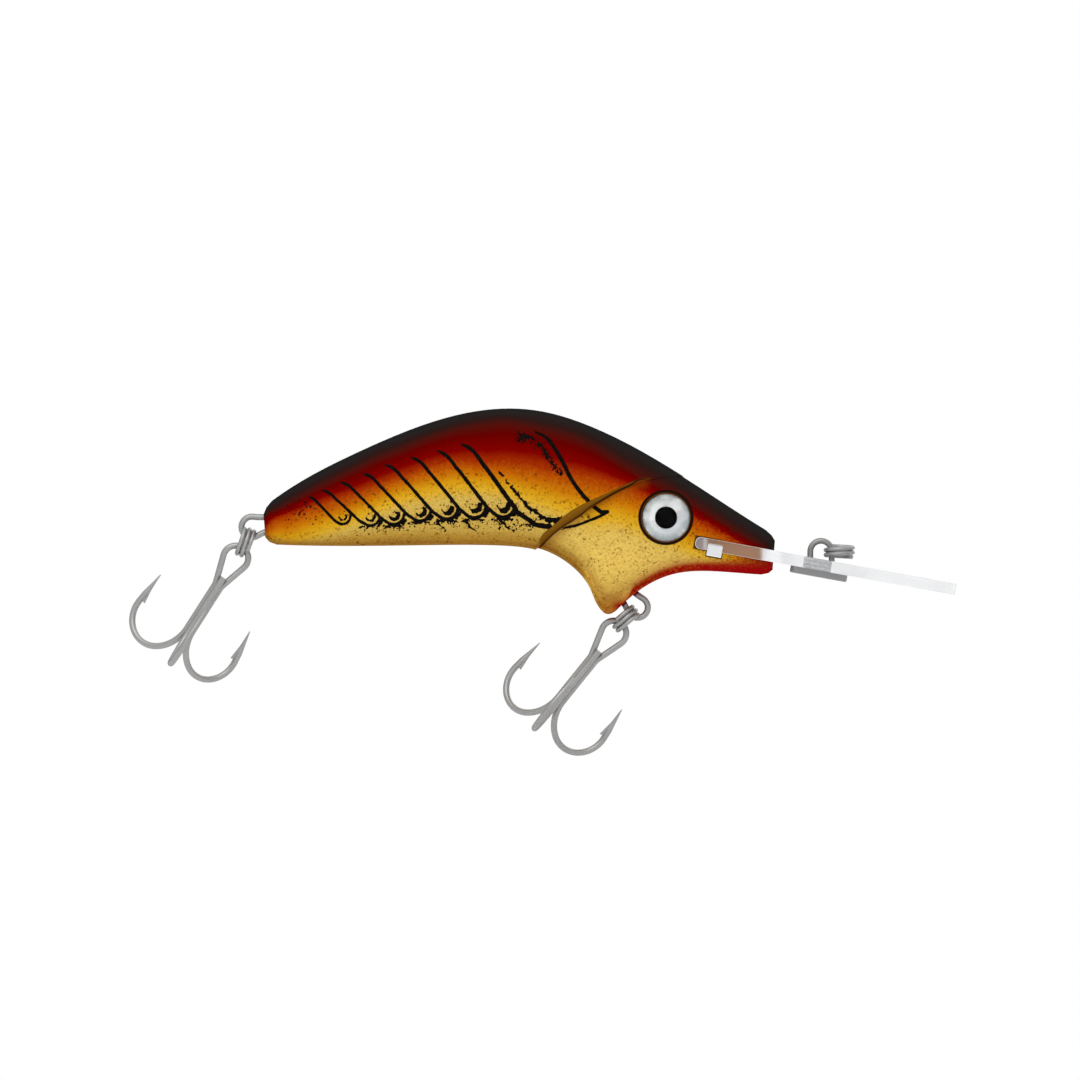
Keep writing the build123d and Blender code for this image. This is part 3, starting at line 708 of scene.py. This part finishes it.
def draw_ribs(ink):
    """Row of slanting ribs; each turns through a round foot up to the next one."""
    for i, (top, foot) in enumerate(zip(RIB_TOPS, RIB_FEET)):
        line = 0.25 + 0.011 * i
        rib = [(top[0] + (foot[0] - top[0]) * u, top[1] + (foot[1] - top[1]) * v) for u, v in RIB_SHAPE]
        if i == len(RIB_ROUND):
            path = smooth_path(rib + LAST_RIB_END)
            ink.stroke(path, lambda t: pointed(line, t) + 0.12 * t, 0.07)
            continue
        radius = RIB_ROUND[i]
        thick = 0.22 + 0.024 * i
        centre = (foot[0] + 0.15, foot[1] + radius + thick)
        turn = arc_points(centre, radius + thick, 235, 356)
        path = np.concatenate([smooth_path([*rib[:-2], tuple(turn[0])]), turn[1:]])
        bend = 1 - len(turn) / len(path)

        def width(t):
            rise = min(1.0, max(0.0, (t - bend + 0.06) / 0.2))
            return pointed(line, t) + (thick - line) * rise * min(1.0, (1.06 - t) * 5)

        ink.stroke(path, width, 0.07)
        draw_crescent(ink, i, centre, radius)
        if i > 0:
            draw_corner(ink, i, centre, radius, foot[0], foot[1] - thick)


def draw_drips(ink):
    """Short ragged tendrils under the rear ribs."""
    for x, z, dx, dz in DRIPS:
        stops = (0, 0.25, 0.5, 0.75, 1)
        steps = [(x + dx * t + 0.25 * math.sin(9 * t + x), z + dz * t) for t in stops]
        ink.stroke(smooth_path(steps), lambda t: 0.2 * (1 - t) + 0.06, 0.22)


def draw_gill(ink):
    """Curved cover line that ends in a barb in front of the step, and ragged dashes behind it."""
    ink.stroke(smooth_path(GILL_LINE), lambda t: min(0.36, 0.17 + t * 1.2), 0.05)
    ink.stroke(smooth_path(BARB_LINE[:2]), lambda t: 0.27, 0.05)
    ink.stroke(smooth_path(BARB_LINE[1:]), lambda t: 0.27 - 0.06 * t, 0.06)
    ink.stroke(smooth_path(DASH_LINE), lambda t: 0.15 + 0.32 * t, 0.46)


def draw_specks(ink):
    """Stipple behind the cheek and on it, in a patch at the cover line, at the tail and below."""
    patch = smooth_path(PATCH_LINE)

    def behind(r):
        return r.normal(-49.6, 1.9), 6.3 + r.normal(0, 0.5) - (0.25 * r.random())

    def edge(r):
        return r.uniform(-42.4, -39.6), r.normal(6.2, 0.25)

    def in_patch(r):
        t = r.random() ** 1.4
        x, z = patch[int(t * (len(patch) - 1))]
        return x + r.normal(0, 0.4), z + r.normal(0, 0.42 * (1 - 0.6 * t))

    def tail(r):
        return r.normal(-91.2, 1.5), r.normal(7.3, 0.95)

    def under(r):
        return r.uniform(-56.5, -50.5), 4.9 - abs(r.normal(0, 0.6))

    ink.splatter(60, behind, (0.05, 0.13))
    ink.splatter(16, edge, (0.05, 0.1))
    ink.splatter(300, in_patch, (0.07, 0.16))
    ink.splatter(60, tail, (0.06, 0.15))
    ink.splatter(70, under, (0.06, 0.16))


# crossings keep this share of a cell away from its corners, so no face is a sliver
CORNER_GAP = 0.08
# start of the rays that find the flank, and the least share of Y in its normal
RAY_START = 0.03
LEAST_FACING = 0.45


def ink_polygons(field, keep):
    """Marching squares: (points, polygons) of the inked cells; points are grid positions."""
    points, index, polygons = [], {}, []

    def corner(i, j):
        key = (i, j)
        if key not in index:
            index[key] = len(points)
            points.append((i, j))
        return index[key]

    def crossing(i, j, k, l):
        key = (i, j, k, l) if (i, j) < (k, l) else (k, l, i, j)
        if key not in index:
            a, b = field[key[0], key[1]], field[key[2], key[3]]
            t = min(1 - CORNER_GAP, max(CORNER_GAP, a / (a - b)))
            index[key] = len(points)
            points.append((key[0] + (key[2] - key[0]) * t, key[1] + (key[3] - key[1]) * t))
        return index[key]

    inked = (field > 0) & keep
    some = inked[:-1, :-1] | inked[1:, :-1] | inked[:-1, 1:] | inked[1:, 1:]
    for i, j in zip(*np.nonzero(some)):
        ring = ((i, j), (i + 1, j), (i + 1, j + 1), (i, j + 1))
        polygon = []
        for a, b in zip(ring, ring[1:] + ring[:1]):
            if inked[a]:
                polygon.append(corner(*a))
            if inked[a] != inked[b]:
                polygon.append(crossing(*a, *b))
        polygons.append(polygon)
    return points, polygons


def lay_on_shell(points, polygons, side, name, surface):
    """Closed skin of ink on one flank, its outer face just proud of the paint."""
    tree = surface_tree("right_shell" if side < 0 else "left_shell")
    outer, inner = [], []
    for gx, gz in points:
        x = (INK_X[0] + gx * CELL) * MM
        z = (INK_Z[0] + gz * CELL) * MM
        hit, normal, _, _ = tree.ray_cast(Vector((x, side * RAY_START, z)), Vector((0, -side, 0)))
        facing = max(LEAST_FACING, abs(normal.y))
        outer.append((x, hit.y + side * INK_PROUD / facing, z))
        inner.append((x, hit.y - side * INK_SUNK / facing, z))
    count = len(points)
    faces, edges = [], {}  # outer and inner faces take turns
    for polygon in polygons:
        faces.append(polygon if side < 0 else polygon[::-1])
        faces.append([v + count for v in (polygon[::-1] if side < 0 else polygon)])
    for polygon in faces[::2]:
        for a, b in zip(polygon, polygon[1:] + polygon[:1]):
            edges[(a, b)] = True
    for a, b in edges:
        if (b, a) not in edges:
            faces.append([b, a, a + count, b + count])
    mesh = bpy.data.meshes.new(name)
    mesh.from_pydata(outer + inner, [], faces)
    mesh.update()
    obj = bpy.data.objects.new(name, mesh)
    bpy.context.scene.collection.objects.link(obj)
    mesh.materials.append(surface)
    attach(obj, "body")


def pattern():
    """The dark print on both flanks, left off the bevel of the cheek's step."""
    ink = Ink()
    draw_ribs(ink)
    draw_drips(ink)
    draw_gill(ink)
    draw_specks(ink)
    gx, gz = np.meshgrid(ink.xs, ink.zs, indexing="ij")
    foot = np.interp(gx, *zip(*STEP_FOOT))
    top = np.interp(gx, *zip(*BEVEL_TOP))
    on_bevel = (gz > foot - 0.22) & (gz < top + 0.05) & (gx > -50.0) & (gx < -30.0)
    points, polygons = ink_polygons(ink.field, ~on_bevel)
    p = Paint("print_ink", rough=0.45, specular=0.0)
    p.base((15, 13, 12))
    p.over((26, 21, 18), p.noise(0.5).step(0.45, 0.75))
    surface = p.done()
    lay_on_shell(points, polygons, -1, "flank_print_right", surface)
    lay_on_shell(points, polygons, 1, "flank_print_left", surface)


pattern()


# --- stage, light and camera ------------------------------------------------------

# name, place, size and power of each lamp, and the point that they shine at
LAMPS = [("key", (-0.15, -0.5, 0.45), 0.5, 1.4), ("fill", (0.2, 0.6, 0.35), 0.5, 1.0)]
LAMP_AIM = (-0.045, 0, 0)
FLOOR_HALF = 1.2
FLOOR_DROP = 0.004


def studio():
    """Even white tent: brighter above, softer below, white behind the lure."""
    scene = bpy.context.scene
    world = bpy.data.worlds.new("studio")
    scene.world = world
    world.use_nodes = True
    tree = world.node_tree
    background = tree.nodes["Background"]
    coords = tree.nodes.new("ShaderNodeTexCoord")
    split = tree.nodes.new("ShaderNodeSeparateXYZ")
    tree.links.new(coords.outputs["Generated"], split.inputs[0])
    height = Field(tree, split.outputs[2])
    sideways = Field(tree, split.outputs[0])
    glow = height.step(-0.9, 0.9) * 0.5 + 0.42 - sideways * sideways * 0.1
    path = tree.nodes.new("ShaderNodeLightPath")
    through = Field(tree, path.outputs["Is Transmission Ray"])
    seen = Field(tree, path.outputs["Is Camera Ray"]).op("MAXIMUM", through * 0.85)
    strength = glow * (1 - seen) + seen
    background.inputs[0].default_value = (1, 1, 1, 1)
    tree.links.new(strength.socket, background.inputs[1])
    scene.view_settings.view_transform = "Standard"
    for name, place, size, power in LAMPS:
        light = bpy.data.lights.new(name, "AREA")
        light.size = size
        light.energy = power
        lamp = bpy.data.objects.new(name, light)
        lamp.location = place
        toward = Vector(LAMP_AIM) - Vector(place)
        lamp.rotation_euler = toward.to_track_quat("-Z", "Y").to_euler()
        scene.collection.objects.link(lamp)


def floor():
    """Pale floor under the hung lure."""
    low = min(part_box(name)[0].z for name in nodes)
    mesh = bpy.data.meshes.new("floor")
    corners = [(x * FLOOR_HALF, y * FLOOR_HALF) for x, y in ((-1, -1), (1, -1), (1, 1), (-1, 1))]
    mesh.from_pydata([(x, y, low - FLOOR_DROP) for x, y in corners], [], [(0, 1, 2, 3)])
    obj = bpy.data.objects.new("floor", mesh)
    bpy.context.scene.collection.objects.link(obj)
    p = Paint("floor_pale", rough=0.8, specular=0.1)
    p.base((246, 246, 246))
    p.over((244, 244, 245), p.noise(40.0).step(0.4, 0.7))
    mesh.materials.append(p.done())


def side_camera():
    """Straight side-on view without perspective."""
    camera = bpy.data.cameras.new("camera")
    camera.type = "ORTHO"
    camera.ortho_scale = VIEW_WIDTH
    obj = bpy.data.objects.new("camera", camera)
    bpy.context.scene.collection.objects.link(obj)
    obj.location = (VIEW_MIDDLE[0], -VIEW_DISTANCE, VIEW_MIDDLE[1])
    obj.rotation_euler = (math.radians(90), 0, 0)
    bpy.context.scene.camera = obj


studio()
floor()
side_camera()
